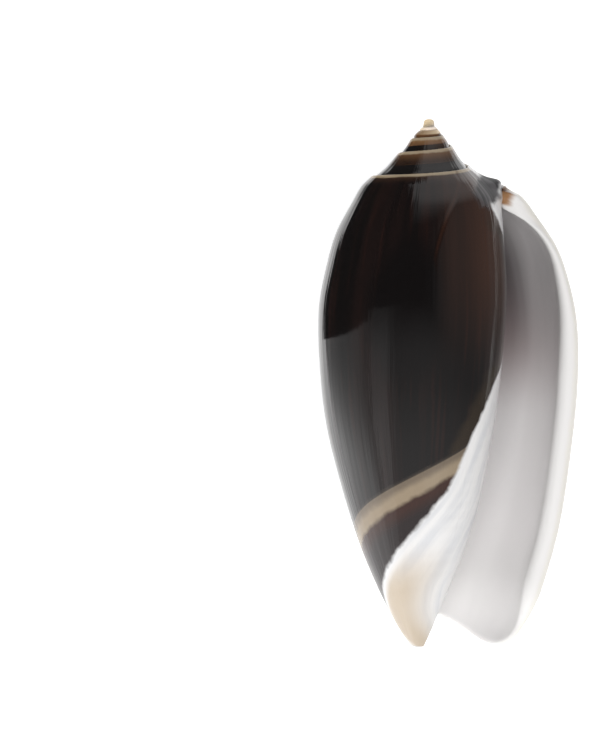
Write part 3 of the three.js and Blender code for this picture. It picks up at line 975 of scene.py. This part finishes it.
# %% Band and groove
BAND_TAN, BAND_PALE = (0.14, 0.11, 0.08), (0.26, 0.205, 0.14)
BAND_RED, BAND_DARK = (0.035, 0.014, 0.01), (0.016, 0.011, 0.011)
GROOVE_HALF = 0.14
BAND_LAYERS = (  # mm past the groove, width and wander of the edge, colour
    (0.0, 0.5, 0.1, BAND_TAN), (0.9, 1.0, 0.3, BAND_PALE), (2.3, 0.7, 0.35, BAND_RED),
)


def band_colours(tree, at, ground):
    """A tan band with a pale middle and a red border, past a thin dark groove."""
    band = at["fasciole"]
    colour = ground
    for start, width, wander, shade in BAND_LAYERS:
        colour = blend(tree, marking(tree, at, minus(tree, band, start), width, wander), colour, shade)
    colour = blend(tree, ramp(tree, band, 2.8, 4.5), colour, BAND_DARK)
    in_groove = minus(tree, GROOVE_HALF, calc(tree, "ABSOLUTE", band))
    groove = marking(tree, at, in_groove, 0.12, 0.0)
    return blend(tree, times(tree, groove, 0.7), colour, DARKEST)


# %% Callus and knot
CALLUS_WHITE, CALLUS_GREY = (0.70, 0.695, 0.69), (0.56, 0.57, 0.59)
# the callus's own cream tint, made darker as painted shade of its left-facing lower part
CALLUS_CREAM_AND_SHADE = (0.48, 0.405, 0.315)
KNOT_DARK, KNOT_GREY = (0.018, 0.017, 0.019), (0.075, 0.072, 0.076)
KNOT_REACH = 1.45


def callus_colours(tree, at):
    """White with grey streaks, and cream near its edge at the lower end, darkened there as painted
    shade.
    """
    edge, depth = at["callus"], at["depth"]
    near_edge = times(tree, ramp(tree, edge, 5.5, 2.0), ramp(tree, edge, 0.2, 1.2))
    # Cream near the edge at the lower end: the callus's own tint, darkened as painted shade.
    cream_and_shade = times(tree, ramp(tree, depth, 41.5, 47.5), near_edge)
    where = put(tree, "CombineXYZ", {0: edge, 1: times(tree, depth, 0.08)}).outputs[0]
    streaks = ramp(tree, noise(tree, where, 0.9), 0.4, 0.65, 0.0, 0.8)
    return blend(tree, cream_and_shade, blend(tree, streaks, CALLUS_WHITE, CALLUS_GREY), CALLUS_CREAM_AND_SHADE)


def knot_colours(tree, lines):
    return blend(tree, ramp(tree, lines["Fine"], 0.4, 0.6), KNOT_DARK, KNOT_GREY)


# %% Dark enamel
ENAMEL_ROUGHNESS, CALLUS_DULLING = 0.09, 0.2
BAND_ROUGHNESS, KNOT_ROUGHNESS = 0.22, 0.55


def make_enamel():
    paint, tree, bsdf = new_paint("dark_enamel")
    at = {name: field(tree, name) for name in FIELDS}
    lines = growth(tree, at)
    colour = spire_colours(tree, at, body_colours(tree, at, lines))
    scar_shown = ramp(tree, at["depth"], 15.0, 11.0)
    scar_line = ramp(tree, calc(tree, "ABSOLUTE", at["scar"]), 0.0, 0.25, 0.4, 0.0)
    colour = blend(tree, times(tree, scar_line, scar_shown), colour, CHESTNUT)
    colour = band_colours(tree, at, colour)
    callus = marking(tree, at, at["callus"], 0.5, 0.3)
    colour = blend(tree, callus, colour, callus_colours(tree, at))
    knot = marking(tree, at, minus(tree, KNOT_REACH, at["spot"]), 0.9, 1.0)
    colour = blend(tree, knot, colour, knot_colours(tree, lines))
    lip_edge = marking(tree, at, plus(tree, at["mouth"], 0.5), 0.4, 0.2)
    colour = blend(tree, lip_edge, colour, CALLUS_WHITE)

    band = marking(tree, at, at["fasciole"], 0.5, 0.1)
    rough = plus(tree, times(tree, callus, CALLUS_DULLING), ENAMEL_ROUGHNESS)
    rough = larger(tree, rough, times(tree, band, BAND_ROUGHNESS))
    rough = larger(tree, rough, times(tree, knot, KNOT_ROUGHNESS))
    scar_step = times(tree, ramp(tree, at["scar"], -0.35, 0.35), scar_shown)
    height = plus(tree, lines["Height"], scar_step)
    relief = put(tree, "Bump", {"Height": height, "Strength": 0.55, "Distance": 0.0002})
    tree.links.new(colour, bsdf.inputs["Base Color"])
    tree.links.new(rough, bsdf.inputs["Roughness"])
    tree.links.new(relief.outputs["Normal"], bsdf.inputs["Normal"])
    return paint


enamel = make_enamel()
mesh.materials.append(enamel)
print(enamel.name, "has", len(enamel.node_tree.nodes), "nodes")

# %% [markdown]
# Inside, the shell is porcelain: white at the lip and down at the base, and darker mauve-grey
# towards the top and away from the mouth, where an orange stain marks the corner. That
# darkening is partly the porcelain's own mauve and rose tint and partly painted shade of the
# deep hollow. The lip keeps a cream edge. It is the same wall as the dark enamel, but the
# inside has no dark coat, so it is a second material on the same mesh, which meets the first
# in a line along the lip.

# %% Porcelain inside
PORCELAIN, LIP_WHITE = (0.88, 0.862, 0.86), (0.74, 0.73, 0.72)
# the rose and mauve are partly the inside's own tint and partly painted shade of the deep hollow
ROSE_AND_SHADE, MAUVE_AND_SHADE = (0.50, 0.41, 0.41), (0.075, 0.057, 0.060)
LIP_CREAM, CORNER_ORANGE, CORNER_BROWN = (0.76, 0.74, 0.69), (0.30, 0.16, 0.075), (0.06, 0.02, 0.012)
STAIN_REACH = 0.95


def inner_colours(tree, at, lines):
    depth, mouth = at["depth"], at["mouth"]
    # Darker towards the top and lighter near the mouth: partly the porcelain's tint, partly painted
    # shade of the deep hollow.
    inner = blend(tree, ramp(tree, depth, 31.0, 21.0), PORCELAIN, ROSE_AND_SHADE)
    inner = blend(tree, ramp(tree, depth, 30.0, 14.0), inner, MAUVE_AND_SHADE)
    inner = blend(tree, ramp(tree, depth, 40.0, 48.0), inner, LIP_WHITE)
    inner = blend(tree, ramp(tree, lines["Broad"], 0.35, 0.65, 0.0, 0.15), inner, PORCELAIN)
    inner = blend(tree, ramp(tree, mouth, 14.0, 4.0, 0.0, 0.65), inner, PORCELAIN)
    return blend(tree, ramp(tree, mouth, 5.5, 2.4), inner, LIP_WHITE)


def make_porcelain():
    paint, tree, bsdf = new_paint("inner_porcelain")
    at = {name: field(tree, name) for name in ("turn", "depth", "mouth", "spot")}
    lines = growth(tree, at)
    colour = inner_colours(tree, at, lines)
    edge = marking(tree, at, minus(tree, 0.5, at["mouth"]), 0.5, 0.2)
    colour = blend(tree, edge, colour, LIP_CREAM)
    stain = marking(tree, at, minus(tree, STAIN_REACH, at["spot"]), 0.9, 0.9)
    colour = blend(tree, stain, colour, CORNER_ORANGE)
    browned = times(tree, stain, ramp(tree, at["depth"], 8.0, 7.0))
    colour = blend(tree, browned, colour, CORNER_BROWN)
    relief = put(tree, "Bump", {"Height": lines["Height"], "Strength": 0.2, "Distance": 0.0002})
    tree.links.new(colour, bsdf.inputs["Base Color"])
    tree.links.new(relief.outputs["Normal"], bsdf.inputs["Normal"])
    bsdf.inputs["Roughness"].default_value = 0.3
    return paint


porcelain = make_porcelain()
mesh.materials.append(porcelain)
print(porcelain.name, "has", len(porcelain.node_tree.nodes), "nodes")
